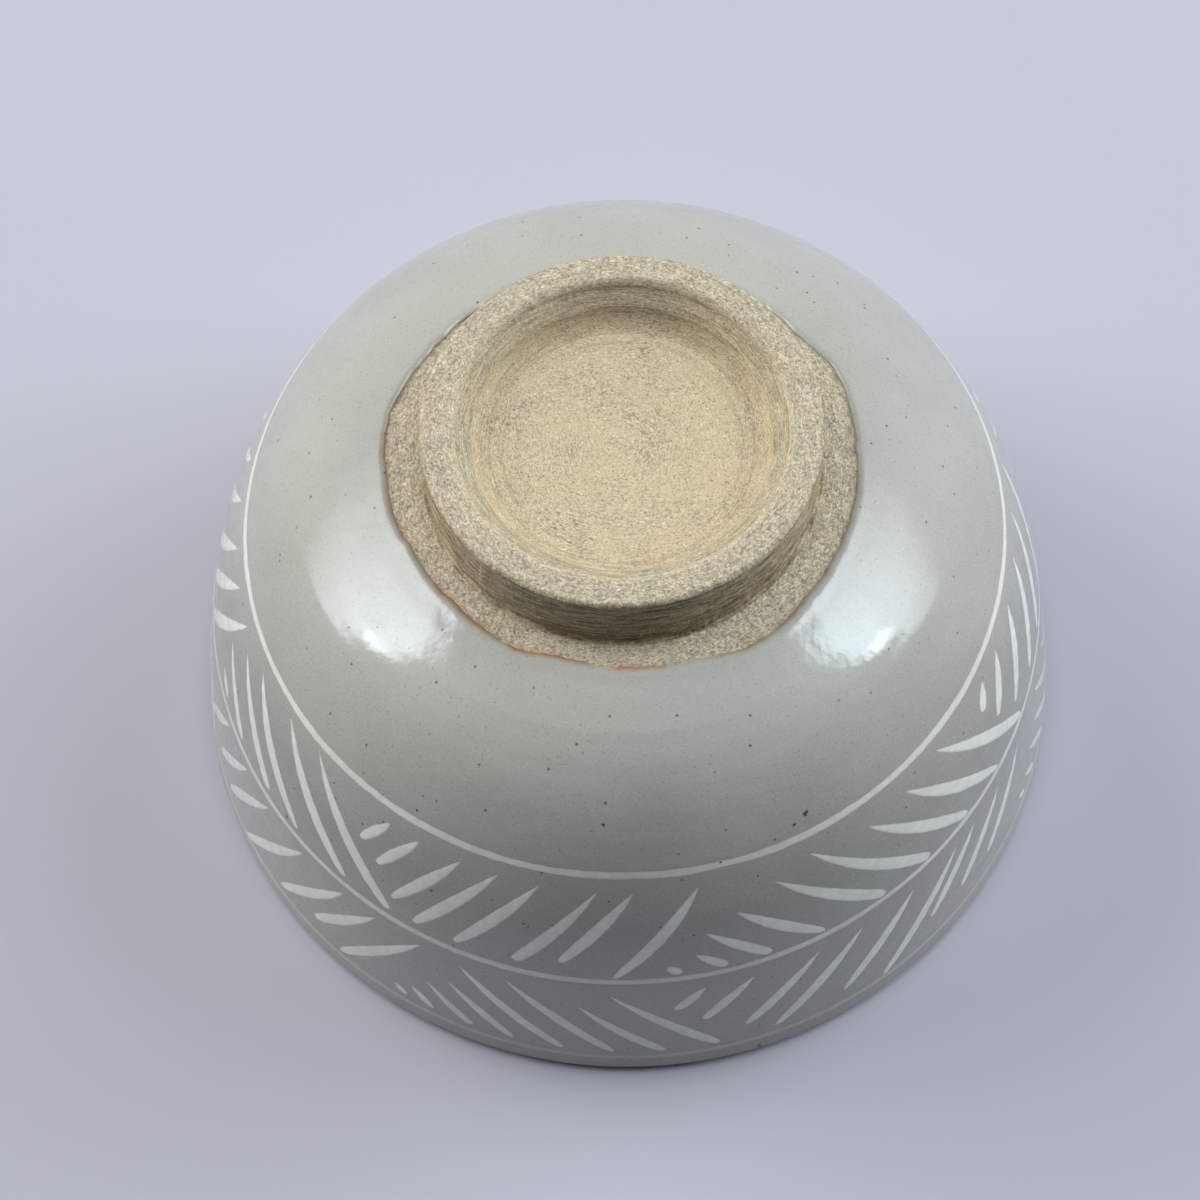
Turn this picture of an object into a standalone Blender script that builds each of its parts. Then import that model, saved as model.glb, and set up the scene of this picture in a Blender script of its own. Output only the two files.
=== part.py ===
"""Tea bowl, turned over and standing on its rim.

A thrown stoneware body with a trimmed foot ring, a glaze coat outside, inside and over the lip, and
white slip let flush into the outer coat: three lines and two rows of slanting strokes.
Lengths are in metres, +Z is up, and the rim stands on z = 0 with the bowl's axis on Z.
Turns are counted from the front (-Y) towards +X, heights on the wall along its face from the rim.
"""
import math
from collections import namedtuple

import bmesh
import bpy
import numpy as np

# Outside of the wall
RIM_RADIUS = 0.0603
RIM_TAPER = math.radians(10.0)
WALL_REACH = 0.0254
HIP_INSET = 0.0070
SHOULDER_HEIGHT = 0.0594

# Foot ring
FOOT_RADIUS = 0.0241
FOOT_HEIGHT = 0.0092
FOOT_FACE = 0.0041
FOOT_EDGE = 0.0008
WELL_DEPTH = 0.0051
WELL_RADIUS = 0.0181
WELL_CURVE = 0.0024

# Inside of the wall
LIP = 0.0044
FLOOR = 0.0070
INSIDE_TAPER = math.radians(12.0)
INSIDE_REACH = 0.0340
INSIDE_HIP_INSET = 0.0100

# Glaze coats
COAT = 0.0009
FIT = 0.00025
RIM_COAT = 0.0032
BARE_WIDTH = 0.0044
BARE_BACK_SHIFT = 0.0009
BARE_RIGHT_SHIFT = 0.0003
BARE_WAVE = 0.0003
BARE_WAVES = 7

# Slip lines
INLAY = 0.00035
RIM_LINE_RISE = 0.0019
RIM_LINE_WIDTH = 0.0009
LOWER_ROW = 0.0210
MIDDLE_LINE_WIDTH = 0.0011
UPPER_ROW = 0.0210
BELLY_LINE_WIDTH = 0.0012

# Slip strokes
STROKE_WIDTH = 0.0018
STROKE_FOOT_GAP = 0.0019
STROKE_TIP_GAP = 0.0030
STROKE_PARTS = 4

# Facets
SEGMENTS = 48
WALL_STEP = 0.0105
HIP_STEP = 0.0044
INSIDE_PARTS = 8
LIP_PARTS = 3

# Places that follow from the sizes above
FOOT_TOP = SHOULDER_HEIGHT + FOOT_HEIGHT
WELL_FLOOR = FOOT_TOP - WELL_DEPTH
INSIDE_DEPTH = WELL_FLOOR - FLOOR
RIM_LINE_AT = RIM_COAT + RIM_LINE_RISE
MIDDLE_LINE_AT = RIM_LINE_AT + LOWER_ROW
BELLY_LINE_AT = MIDDLE_LINE_AT + UPPER_ROW
LINES = {
    "rim_line": (RIM_LINE_AT, RIM_LINE_WIDTH),
    "middle_line": (MIDDLE_LINE_AT, MIDDLE_LINE_WIDTH),
    "belly_line": (BELLY_LINE_AT, BELLY_LINE_WIDTH),
}

# A zone is a run of parallel strokes. Rising strokes hang from the row's top and lean to the right,
# falling ones stand on its foot and lean to the left. The first ones are short and grow to full height.
# turns: where each stroke starts, in degrees; lean: degrees over a full row; first and growth: shares of it.
Zone = namedtuple("Zone", "rising turns lean first growth")
UPPER_ZONES = (
    Zone(False, (-66.5, -58, -51, -41.5, -34), 16.0, 0.65, 0.20),
    Zone(True, (-36, -31, -24.5, -19, -13, -5, 0, 9), 11.5, 0.34, 0.22),
    Zone(False, (12, 18, 25.5, 35, 43, 51, 59, 67.5), 18.5, 0.22, 0.20),
    Zone(True, (62, 67.5, 75, 83, 90.5, 98.5), 10.0, 0.25, 0.25),
)
LOWER_ZONES = (
    Zone(True, (-71, -64, -57.5, -49.5, -41.5, -36, -29), 12.0, 0.70, 0.15),
    Zone(False, (-27, -21.5, -16, -9.5, -3, 3.5, 10.5), 14.5, 0.22, 0.20),
    Zone(True, (9, 15.5, 24.5, 31, 39.5, 48, 52, 58.5, 65), 13.0, 0.29, 0.24),
)


class Face:
    """A wall face drawn as one curve from the rim, read by its length along the face."""

    def __init__(self, corners, fine=400):
        share = np.linspace(0.0, 1.0, fine)[:, None]
        rest = 1.0 - share
        start, start_handle, end_handle, end = np.array(corners)
        self.points = (rest**3 * start + 3 * rest**2 * share * start_handle
                       + 3 * rest * share**2 * end_handle + share**3 * end)
        steps = np.linalg.norm(np.diff(self.points, axis=0), axis=1)
        self.lengths = np.concatenate([[0.0], np.cumsum(steps)])
        tangents = np.gradient(self.points, axis=0)
        tangents /= np.linalg.norm(tangents, axis=1)[:, None]
        self.normals = np.stack([tangents[:, 1], -tangents[:, 0]], axis=1)

    def at(self, length, depth=0.0):
        """Radius and height at a length along the face, moved in from the outside by a depth."""
        radius, height, out, up = (
            np.interp(length, self.lengths, values)
            for values in (*self.points.T, *self.normals.T)
        )
        return radius - depth * out, height - depth * up

    def length_at_radius(self, radius):
        return float(np.interp(-radius, -self.points[:, 0], self.lengths))


OUTSIDE = Face((
    (RIM_RADIUS, 0.0),
    (RIM_RADIUS - WALL_REACH * math.tan(RIM_TAPER), WALL_REACH),
    (RIM_RADIUS - HIP_INSET, SHOULDER_HEIGHT),
    (FOOT_RADIUS, SHOULDER_HEIGHT),
))
INSIDE = Face((
    (RIM_RADIUS - LIP, 0.0),
    (RIM_RADIUS - LIP - INSIDE_REACH * math.tan(INSIDE_TAPER), INSIDE_REACH),
    (RIM_RADIUS - INSIDE_HIP_INSET, INSIDE_DEPTH),
    (0.0, INSIDE_DEPTH),
))


def spaced(start, end, step):
    """Lengths from start to end, evenly spaced by at most a step."""
    return list(np.linspace(start, end, max(2, math.ceil((end - start) / step) + 1)))


def wall_lengths(start):
    """Stations up the outside from a start to the foot: close together round the hip."""
    return spaced(start, BELLY_LINE_AT, WALL_STEP) + spaced(BELLY_LINE_AT, OUTSIDE.lengths[-1], HIP_STEP)[1:]


def lip_arc(depth):
    """Round of the lip from outside to inside, moved in by a depth."""
    centre = RIM_RADIUS - LIP / 2.0 * (1.0 + math.tan(RIM_TAPER))
    radius = LIP / 2.0 - depth
    turns = np.linspace(0.0, -math.pi, 2 * LIP_PARTS + 1)
    return [(centre + radius * math.cos(turn), LIP / 2.0 + radius * math.sin(turn)) for turn in turns]


def inside_lengths(start):
    return np.linspace(start, INSIDE.lengths[-1], INSIDE_PARTS + 1)


def bare_edge(turn):
    """Length along the outside where the coat ends, at a turn round the bowl."""
    radius = FOOT_RADIUS + BARE_WIDTH - BARE_BACK_SHIFT * math.cos(turn)
    radius += BARE_RIGHT_SHIFT * math.sin(turn) + BARE_WAVE * math.sin(BARE_WAVES * turn)
    return OUTSIDE.length_at_radius(radius)


def principled(name, colour, roughness):
    material = bpy.data.materials.new(name)
    material.use_nodes = True
    shader = material.node_tree.nodes["Principled BSDF"]
    shader.inputs["Base Color"].default_value = (*colour, 1.0)
    shader.inputs["Roughness"].default_value = roughness
    shader.inputs["Metallic"].default_value = 0.0
    material.diffuse_color = (*colour, 1.0)
    return material


def add_object(name, mesh_data, material):
    mesh = bpy.data.meshes.new(name)
    bmesh.ops.recalc_face_normals(mesh_data, faces=mesh_data.faces)
    mesh_data.to_mesh(mesh)
    mesh_data.free()
    mesh.shade_smooth()
    mesh.set_sharp_from_angle(angle=math.radians(35.0))
    mesh.materials.append(material)
    item = bpy.data.objects.new(name, mesh)
    bpy.context.collection.objects.link(item)
    return item


def turned(name, section, material):
    """A turned solid. section(turn) gives its outline there: a loop, or a line that ends on the axis twice."""
    mesh_data = bmesh.new()
    on_axis = {}
    columns = []
    for step in range(SEGMENTS):
        turn = 2.0 * math.pi * step / SEGMENTS
        outline = section(turn)
        column = []
        for place, (radius, height) in enumerate(outline):
            if radius == 0.0 and place in on_axis:
                column.append(on_axis[place])
                continue
            vertex = mesh_data.verts.new((radius * math.sin(turn), -radius * math.cos(turn), height))
            if radius == 0.0:
                on_axis[place] = vertex
            column.append(vertex)
        columns.append(column)
    count = len(columns[0])
    spans = count - 1 if on_axis else count
    for left, right in zip(columns, columns[1:] + columns[:1]):
        for place in range(spans):
            corners = (left[place], right[place], right[(place + 1) % count], left[(place + 1) % count])
            mesh_data.faces.new(dict.fromkeys(corners))
    return add_object(name, mesh_data, material)


def clay_section(_turn):
    """Clay from the middle of the foot well over the foot ring, down the wall, round the lip and up inside."""
    depth = COAT + FIT
    foot_inner = FOOT_RADIUS - FOOT_FACE
    well = [
        (0.0, WELL_FLOOR),
        (WELL_RADIUS - WELL_CURVE, WELL_FLOOR),
        (WELL_RADIUS - 0.3 * WELL_CURVE, WELL_FLOOR + 0.3 * WELL_CURVE),
        (WELL_RADIUS, WELL_FLOOR + WELL_CURVE),
        (foot_inner, FOOT_TOP - FOOT_EDGE),
        (foot_inner + 0.3 * FOOT_EDGE, FOOT_TOP - 0.3 * FOOT_EDGE),
        (foot_inner + FOOT_EDGE, FOOT_TOP),
    ]
    ring = [
        (FOOT_RADIUS - FOOT_EDGE, FOOT_TOP),
        (FOOT_RADIUS - 0.3 * FOOT_EDGE, FOOT_TOP - 0.3 * FOOT_EDGE),
        (FOOT_RADIUS, FOOT_TOP - FOOT_EDGE),
    ]
    outside = [OUTSIDE.at(length, depth) for length in reversed(wall_lengths(RIM_COAT))]
    inside = [INSIDE.at(length, -depth) for length in inside_lengths(RIM_COAT)[:-1]]
    return well + ring + outside + lip_arc(depth) + inside + [(0.0, INSIDE_DEPTH + depth)]


def outer_glaze_section(turn):
    """Outer coat from the rim joint up its face, with a groove for each line, over its edge and back."""
    end = bare_edge(turn)
    start = RIM_COAT + FIT
    stations = [(start, 0.0)]
    for centre, width in LINES.values():
        low = centre - width / 2.0 - FIT
        high = centre + width / 2.0 + FIT
        stations += [(length, 0.0) for length in spaced(stations[-1][0], low, WALL_STEP)[1:]]
        stations += [(low, INLAY + FIT), (high, INLAY + FIT), (high, 0.0)]
    stations += [(length, 0.0) for length in spaced(stations[-1][0], bare_edge(math.pi) - HIP_STEP, HIP_STEP)[1:]]
    stations += [(end - COAT / 2.0, 0.0), (end, COAT / 2.0), (end, COAT)]
    back = [length for length in wall_lengths(start) if length < bare_edge(math.pi) - HIP_STEP / 2.0]
    stations += [(length, COAT) for length in reversed(back)]
    return [OUTSIDE.at(length, depth) for length, depth in stations]


def rim_glaze_section(_turn):
    outer = [OUTSIDE.at(RIM_COAT), *lip_arc(0.0), INSIDE.at(RIM_COAT)]
    inner = [OUTSIDE.at(RIM_COAT, COAT), *lip_arc(COAT), INSIDE.at(RIM_COAT, -COAT)]
    return outer + inner[::-1]


def inner_glaze_section(_turn):
    lengths = inside_lengths(RIM_COAT + FIT)[:-1]
    face = [INSIDE.at(length) for length in lengths]
    back = [INSIDE.at(length, -COAT) for length in lengths]
    return [(0.0, INSIDE_DEPTH), *face[::-1], *back, (0.0, INSIDE_DEPTH + COAT)]


def line_section(centre, width):
    corners = ((-0.5, 0.0), (0.5, 0.0), (0.5, INLAY), (-0.5, INLAY))
    return [OUTSIDE.at(centre + share * width, depth) for share, depth in corners]


def on_wall(turn, length, depth):
    radius, height = OUTSIDE.at(length, depth)
    return radius * math.sin(turn), -radius * math.cos(turn), height


def add_stroke(mesh_data, foot, tip, width, grow, top, bottom):
    """A stroke on the wall, pointed at both ends, from a top to a bottom depth and grown on every side."""
    radius = OUTSIDE.at((foot[1] + tip[1]) / 2.0)[0]
    run = np.array(((tip[0] - foot[0]) * radius, tip[1] - foot[1]))
    length = np.linalg.norm(run)
    along = run / length
    across = np.array((along[1], -along[0]))
    sides = ([], [])
    for part in range(STROKE_PARTS + 1):
        share = part / STROKE_PARTS
        half = width / 2.0 * math.sqrt(math.sin(math.pi * share)) + grow
        reach = share * length + grow * (2.0 * share - 1.0)
        for side, sign in zip(sides, (-1.0, 1.0)):
            offset = along * reach + across * sign * max(half, width / 5.0)
            place = (foot[0] + offset[0] / radius, foot[1] + offset[1])
            side.append([mesh_data.verts.new(on_wall(*place, depth)) for depth in (top, bottom)])
    left, right = sides
    for part in range(STROKE_PARTS):
        for level in (0, 1):
            mesh_data.faces.new((left[part][level], right[part][level],
                                 right[part + 1][level], left[part + 1][level]))
        for side in sides:
            mesh_data.faces.new((side[part][0], side[part][1], side[part + 1][1], side[part + 1][0]))
    for part in (0, STROKE_PARTS):
        mesh_data.faces.new((left[part][0], left[part][1], right[part][1], right[part][0]))


def row_strokes(zones, row_foot, row_top):
    """Foot and tip, as turn and length on the wall, and width of each stroke in a row."""
    low = row_foot + STROKE_FOOT_GAP
    height = row_top - STROKE_TIP_GAP - low
    for zone in zones:
        for order, start in enumerate(zone.turns):
            share = min(1.0, zone.first + zone.growth * order)
            lean = math.radians(zone.lean) * share
            turn = math.radians(start)
            width = STROKE_WIDTH * (0.6 + 0.4 * share)
            if zone.rising:
                yield (turn - lean, low + height * (1.0 - share)), (turn, low + height), width
            else:
                yield (turn, low), (turn - lean, low + height * share), width


def build():
    for item in list(bpy.data.objects):
        bpy.data.objects.remove(item, do_unlink=True)
    clay = principled("bare_stoneware", (0.42, 0.36, 0.29), 0.85)
    grey_glaze = principled("grey_glaze", (0.40, 0.40, 0.36), 0.18)
    slip = principled("white_slip", (0.72, 0.73, 0.69), 0.22)

    turned("clay_body", clay_section, clay)
    coat = turned("outer_glaze", outer_glaze_section, grey_glaze)
    turned("inner_glaze", inner_glaze_section, grey_glaze)
    turned("rim_glaze", rim_glaze_section, grey_glaze)
    for name, (centre, width) in LINES.items():
        turned(name, lambda _turn, at=centre, wide=width: line_section(at, wide), slip)

    slots = bmesh.new()
    rows = {
        "upper_stroke": row_strokes(UPPER_ZONES, MIDDLE_LINE_AT, BELLY_LINE_AT),
        "lower_stroke": row_strokes(LOWER_ZONES, RIM_LINE_AT, MIDDLE_LINE_AT),
    }
    for name, strokes in rows.items():
        for order, (foot, tip, width) in enumerate(strokes, start=1):
            inlay = bmesh.new()
            add_stroke(inlay, foot, tip, width, 0.0, 0.0, INLAY)
            add_object(f"{name}_{order:02d}", inlay, slip)
            add_stroke(slots, foot, tip, width, FIT, -COAT, INLAY + FIT)
    cutter = add_object("stroke_slots", slots, slip)
    cutter.hide_render = True
    cutter.display_type = "WIRE"
    cut = coat.modifiers.new("stroke_slots", "BOOLEAN")
    cut.operation = "DIFFERENCE"
    cut.object = cutter


build()
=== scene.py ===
"""Dressed model of a tea bowl, turned over on its rim, as a small add-on that builds it piece by piece."""
import itertools
import math
from collections import namedtuple

import bmesh
import bpy
import numpy as np
from bpy.props import FloatProperty, FloatVectorProperty, IntProperty, PointerProperty
from mathutils import Matrix


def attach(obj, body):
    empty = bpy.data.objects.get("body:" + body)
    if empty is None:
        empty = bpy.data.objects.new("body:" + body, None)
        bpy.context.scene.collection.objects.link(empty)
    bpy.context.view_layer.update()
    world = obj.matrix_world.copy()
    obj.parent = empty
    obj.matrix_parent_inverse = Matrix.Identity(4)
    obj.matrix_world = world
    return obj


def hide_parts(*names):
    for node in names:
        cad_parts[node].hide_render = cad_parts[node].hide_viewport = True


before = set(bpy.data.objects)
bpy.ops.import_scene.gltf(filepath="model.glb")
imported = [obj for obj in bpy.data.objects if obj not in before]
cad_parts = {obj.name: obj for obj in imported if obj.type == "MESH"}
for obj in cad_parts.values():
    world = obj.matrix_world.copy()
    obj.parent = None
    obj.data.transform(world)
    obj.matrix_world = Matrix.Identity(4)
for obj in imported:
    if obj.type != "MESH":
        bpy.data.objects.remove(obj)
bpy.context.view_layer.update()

bl_info = {
    "name": "Tea Bowl",
    "version": (1, 0, 0),
    "blender": (4, 5, 0),
    "location": "3D View > Sidebar > Tea Bowl",
    "description": "Builds a glazed stoneware tea bowl with white slip inlay, standing on its rim",
    "category": "Object",
}

MM = 0.001
SHARP_EDGE = math.radians(60.0)
LINE_FACETS = 720

# Radius of the smallest ring of points at the axis, and gap between two coats
AXIS_RING = 0.2 * MM
COAT_GAP = 0.02 * MM


# Property helpers

def length(name, description, default):
    return FloatProperty(name=name, description=description, default=default, unit="LENGTH", precision=5)


def angle(name, description, degrees):
    return FloatProperty(name=name, description=description, default=math.radians(degrees), subtype="ANGLE")


def factor(name, description, default):
    return FloatProperty(name=name, description=description, default=default, min=0.0, max=1.0,
                         subtype="FACTOR")


def colour(name, description, default):
    return FloatVectorProperty(name=name, description=description, default=default, min=0.0, max=1.0,
                               subtype="COLOR")


def power(name, description, default):
    return FloatProperty(name=name, description=description, default=default, min=0.0, unit="POWER")


class BowlShape(bpy.types.PropertyGroup):
    """Sizes of the bowl. Its glaze is thinner than in the solids."""

    rim_radius: length("Rim radius", "Radius of the outside at the rim", 60.3 * MM)
    rim_taper: angle("Rim taper", "Lean of the wall at the rim", 10.0)
    wall_reach: length("Wall reach", "Handle of the outside curve at the rim", 25.4 * MM)
    hip_inset: length("Hip inset", "How far the hip lies inside the rim", 7.0 * MM)
    shoulder_height: length("Shoulder height", "Height of the shoulder at the foot", 59.4 * MM)
    foot_radius: length("Foot radius", "Outer radius of the foot ring", 24.1 * MM)
    foot_height: length("Foot height", "Height of the foot ring over the shoulder", 9.2 * MM)
    foot_face: length("Foot face", "Width of the foot ring's face", 4.1 * MM)
    foot_edge: length("Foot edge", "Rounding of the foot's inner edge, twice the outer one's", 1.1 * MM)
    well_depth: length("Well depth", "Depth of the foot well", 5.1 * MM)
    well_radius: length("Well radius", "Radius of the foot well's floor", 18.1 * MM)
    well_curve: length("Well curve", "Rounding of the foot well's corner", 2.4 * MM)
    lip: length("Lip", "Thickness of the lip", 4.4 * MM)
    floor: length("Floor", "Thickness of the floor at the axis", 7.0 * MM)
    inside_taper: angle("Inside taper", "Lean of the inside at the rim", 12.0)
    inside_reach: length("Inside reach", "Handle of the inside curve at the rim", 34.0 * MM)
    inside_hip_inset: length("Inside hip inset", "How far the inside's hip lies inside the rim", 10.0 * MM)
    rim_coat: length("Rim coat", "Height of the double coat over the lip", 3.2 * MM)
    coat: length("Coat", "Thickness of the glaze", 0.40 * MM)
    seat: length("Seat", "Clearance between glaze and clay", 0.04 * MM)


class GlazeLook(bpy.types.PropertyGroup):
    """Colours and gloss of the glaze and the slip under it."""

    grey: colour("Grey", "Colour of the glaze on the wall", (0.250, 0.246, 0.214))
    # The shoulder's paler grey is painted light where the glaze faces up.
    pale: colour("Pale grey", "Colour of the glaze on the shoulder", (0.405, 0.407, 0.366))
    milk: colour("Milk", "Colour of the fine milky flecks", (0.62, 0.64, 0.62))
    iron: colour("Iron", "Colour of the specks", (0.030, 0.026, 0.020))
    slip: colour("Slip", "Colour of the slip under the glaze", (0.74, 0.77, 0.71))
    rust: colour("Rust", "Colour of the line where the glaze ends", (0.360, 0.160, 0.045))
    roughness: factor("Roughness", "Roughness under the clear top layer", 0.36)
    gloss: factor("Gloss", "Strength of the clear top layer", 1.00)


class ClayLook(bpy.types.PropertyGroup):
    """Colours of the bare clay."""

    buff: colour("Buff", "Main colour of the bare clay", (0.610, 0.540, 0.385))
    peach: colour("Peach", "Colour of the foot well's floor", (0.670, 0.555, 0.365))
    cream: colour("Cream", "Colour of the pale grains", (0.795, 0.725, 0.585))
    ash: colour("Ash", "Colour of the grey grains", (0.240, 0.238, 0.222))
    # Brown and umber also carry painted shade on the foot's walls and in the well, with the turning marks.
    brown: colour("Brown", "Colour of the brown grains", (0.335, 0.235, 0.100))
    umber: colour("Umber", "Colour of the turning marks and pits", (0.090, 0.068, 0.035))
    rust: colour("Rust", "Colour of the clay beside the glaze", (0.400, 0.170, 0.050))


class SlipPattern(bpy.types.PropertyGroup):
    """Places and widths of the slip lines and strokes."""

    rim_line: length("Rim line", "Height of the lowest line on the wall", 5.1 * MM)
    middle_line: length("Middle line", "Height of the line between the rows", 26.1 * MM)
    belly_line: length("Belly line", "Height of the line over the rows", 47.1 * MM)
    line_width: length("Line width", "Width of a line", 1.1 * MM)
    stroke_width: length("Stroke width", "Widest place of a long stroke", 1.95 * MM)
    foot_gap: length("Foot gap", "Space between a row's strokes and the line under them", 1.9 * MM)
    tip_gap: length("Tip gap", "Space between a row's strokes and the line over them", 2.7 * MM)
    softness: length("Softness", "Width over which slip fades into glaze", 0.45 * MM)
    inlay: length("Inlay", "Depth of the slip under the face of the coat", 0.35 * MM)
    lift: length("Lift", "Relief of the slip under the glaze", 0.03 * MM)


class StageSet(bpy.types.PropertyGroup):
    """Camera, light and floor."""

    camera_place: FloatVectorProperty(name="Camera place", description="Where the camera stands",
                                      default=(0.0, -0.143074, 0.316082), subtype="TRANSLATION", precision=5)
    camera_down: angle("Camera down", "Angle of the view below the horizon", 64.143)
    camera_pan: angle("Camera pan", "Turn of the view to the left", 1.401)
    camera_roll: angle("Camera roll", "Roll of the camera about its view", -2.66)
    lens: FloatProperty(name="Lens", description="Focal length", default=72.0, unit="CAMERA")
    floor_size: length("Floor size", "Side of the floor", 1.8)
    floor: colour("Floor", "Colour of the floor", (0.455, 0.465, 0.535))
    sky: colour("Sky", "Colour of the background", (0.60, 0.615, 0.70))
    fill: factor("Fill", "Strength of the light from all round", 0.01)
    softbox_power: power("Softbox power", "Power of each softbox in the gloss", 27.0)
    skylight_power: power("Skylight power", "Power of the light overhead", 3.1)
    side_power: power("Side power", "Power of each high side light", 4.3)
    window_power: power("Window power", "Power of the low light on each side", 18.0)


class TeaBowl(bpy.types.PropertyGroup):
    """All settings of the bowl and its stage."""

    shape: PointerProperty(type=BowlShape)
    glaze: PointerProperty(type=GlazeLook)
    clay: PointerProperty(type=ClayLook)
    slip: PointerProperty(type=SlipPattern)
    stage: PointerProperty(type=StageSet)
    segments: IntProperty(name="Segments", description="Facets round the bowl", default=480, min=48)


# Stroke layout

# A zone is a run of nearly parallel strokes. Rising strokes hang from the row's top and lean to the right,
# falling ones stand on its foot and lean to the left. turns: where each stroke starts, in degrees from the
# front; shares: how much of the row each one crosses; lean: degrees over a full row; solids: how many of
# its last strokes are solids of the frame; wide: their width against the widest.
Zone = namedtuple("Zone", "rising turns shares lean solids wide")

UPPER_FRONT = (
    Zone(False, (-73, -66.5, -58, -51, -41.5, -34), (0.19, 0.62, 0.87, 1.0, 1.05, 1.07), 15.5, 5, 1.04),
    Zone(True, (-36, -31, -24.5, -19, -13, -5, 0, 9),
         (0.34, 0.50, 0.80, 0.97, 0.97, 0.95, 0.86, 1.03), 11.3, 8, 0.90),
    Zone(False, (6, 12, 18, 25.5, 35, 43, 51, 59, 67.5),
         (0.10, 0.22, 0.47, 0.64, 0.85, 0.98, 0.90, 0.94, 1.02), 18.0, 8, 1.02),
    Zone(True, (62, 67.5, 75, 83, 90.5, 98.5), (0.22, 0.50, 0.75, 0.88, 0.95, 1.0), 10.5, 6, 1.05),
)
LOWER_FRONT = (
    Zone(True, (-71, -64, -57.5, -49.5, -41.5, -36, -29),
         (0.75, 0.82, 0.94, 1.1, 1.0, 0.85, 1.03), 12.2, 7, 0.98),
    Zone(False, (-31, -27, -21.5, -16, -9.5, -3, 3.5, 10.5),
         (0.11, 0.22, 0.45, 0.62, 0.97, 0.97, 0.77, 0.97), 14.2, 7, 0.90),
    Zone(True, (9, 15.5, 24.5, 31, 39.5, 48, 52, 58.5, 65),
         (0.29, 0.52, 0.77, 0.97, 0.88, 1.06, 0.72, 0.75, 0.78), 13.2, 9, 1.0),
)
UPPER_LEFT = Zone(True, (-110, -102.5, -95.5, -87.5, -81, -74.5),
                  (0.5, 0.72, 0.88, 1.0, 1.0, 1.05), 11.5, 0, 1.05)
LOWER_BACK = Zone(True, (111, 117, 123, 130.5, 138.5, 144, 151),
                  (0.30, 0.55, 0.90, 1.1, 1.0, 0.85, 1.03), 12.2, 0, 0.98)


def again(zone, shift):
    """The same zone further round the bowl, as on the side away from the view."""
    return zone._replace(turns=tuple(turn + shift for turn in zone.turns), solids=0)


ROWS = {
    "upper": UPPER_FRONT + (UPPER_LEFT,) + tuple(again(zone, 176.0) for zone in UPPER_FRONT[:3]),
    "lower": LOWER_FRONT + (again(LOWER_FRONT[1], 97.0), LOWER_BACK)
    + tuple(again(zone, 180.0) for zone in LOWER_FRONT[1:]) + (again(LOWER_FRONT[1], -89.0),),
}

# Bare band round the foot: turn in degrees and width in millimetres, from the left round the front
BARE_EDGE = (
    (-128, 4.9), (-104, 5.6), (-82, 4.6), (-62, 3.6), (-46, 3.3), (-28, 3.7), (-17, 2.8), (0, 3.3),
    (14, 3.6), (34, 4.8), (55, 4.4), (92, 4.6), (114, 5.5), (128, 4.6), (160, 5.0), (196, 5.2),
)

# Larger iron specks: turn in degrees, height on the wall and radius in millimetres
SPECKS = (
    (26.3, 50.2, 0.38), (24.2, 49.4, 0.22), (12.6, 47.6, 0.20), (-4.2, 54.4, 0.22), (-3.3, 43.1, 0.16),
    (15.8, 2.6, 0.40), (-28.0, 37.0, 0.24), (-14.7, 37.0, 0.20), (7.9, 35.9, 0.16), (17.5, 43.9, 0.17),
    (-32.6, 48.9, 0.18), (-53.3, 27.7, 0.30),
)

# Runs of the clay's profile: height of the grit and of the turning cuts in millimetres, strength of the dark
# turning marks and painted shade, most on the foot's outer wall, its root and in the well, and share of
# coarse grains. Runs wholly under the glaze have none.
CLAY_SURFACE = {
    "floor": (0.022, 0.015, 0.08, 0.0),
    "corner": (0.025, 0.03, 0.30, 0.05),
    "inner_wall": (0.03, 0.05, 0.50, 0.25),
    "inner_edge": (0.07, 0.03, 0.15, 0.8),
    "face": (0.06, 0.03, 0.12, 1.0),
    "outer_edge": (0.08, 0.04, 0.30, 0.8),
    "outer_wall": (0.06, 0.07, 0.90, 0.25),
    "root": (0.06, 0.05, 0.85, 0.5),
    "shoulder": (0.09, 0.03, 0.0, 1.0),
}
COVERED = (0.0, 0.0, 0.0, 0.0)


# Geometry helpers

class Face:
    """A wall face drawn as one curve from the rim, read by its length along the face."""

    def __init__(self, corners, fine=600):
        share = np.linspace(0.0, 1.0, fine)[:, None]
        rest = 1.0 - share
        start, start_handle, end_handle, end = np.array(corners)
        self.points = (rest**3 * start + 3 * rest**2 * share * start_handle
                       + 3 * rest * share**2 * end_handle + share**3 * end)
        steps = np.linalg.norm(np.diff(self.points, axis=0), axis=1)
        self.lengths = np.concatenate([[0.0], np.cumsum(steps)])
        tangents = np.gradient(self.points, axis=0)
        tangents /= np.linalg.norm(tangents, axis=1)[:, None]
        self.normals = np.stack([tangents[:, 1], -tangents[:, 0]], axis=1)

    def at(self, lengths, lift=0.0):
        """Radius and height at lengths along the face, moved out by a lift."""
        radius, height, out, up = (
            np.interp(lengths, self.lengths, values)
            for values in (*self.points.T, *self.normals.T)
        )
        return radius + lift * out, height + lift * up

    def length_at_radius(self, radius):
        return np.interp(-radius, -self.points[:, 0], self.lengths)


def outside_face(shape):
    return Face((
        (shape.rim_radius, 0.0),
        (shape.rim_radius - shape.wall_reach * math.tan(shape.rim_taper), shape.wall_reach),
        (shape.rim_radius - shape.hip_inset, shape.shoulder_height),
        (shape.foot_radius, shape.shoulder_height),
    ))


def inside_depth(shape):
    return shape.shoulder_height + shape.foot_height - shape.well_depth - shape.floor


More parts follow.
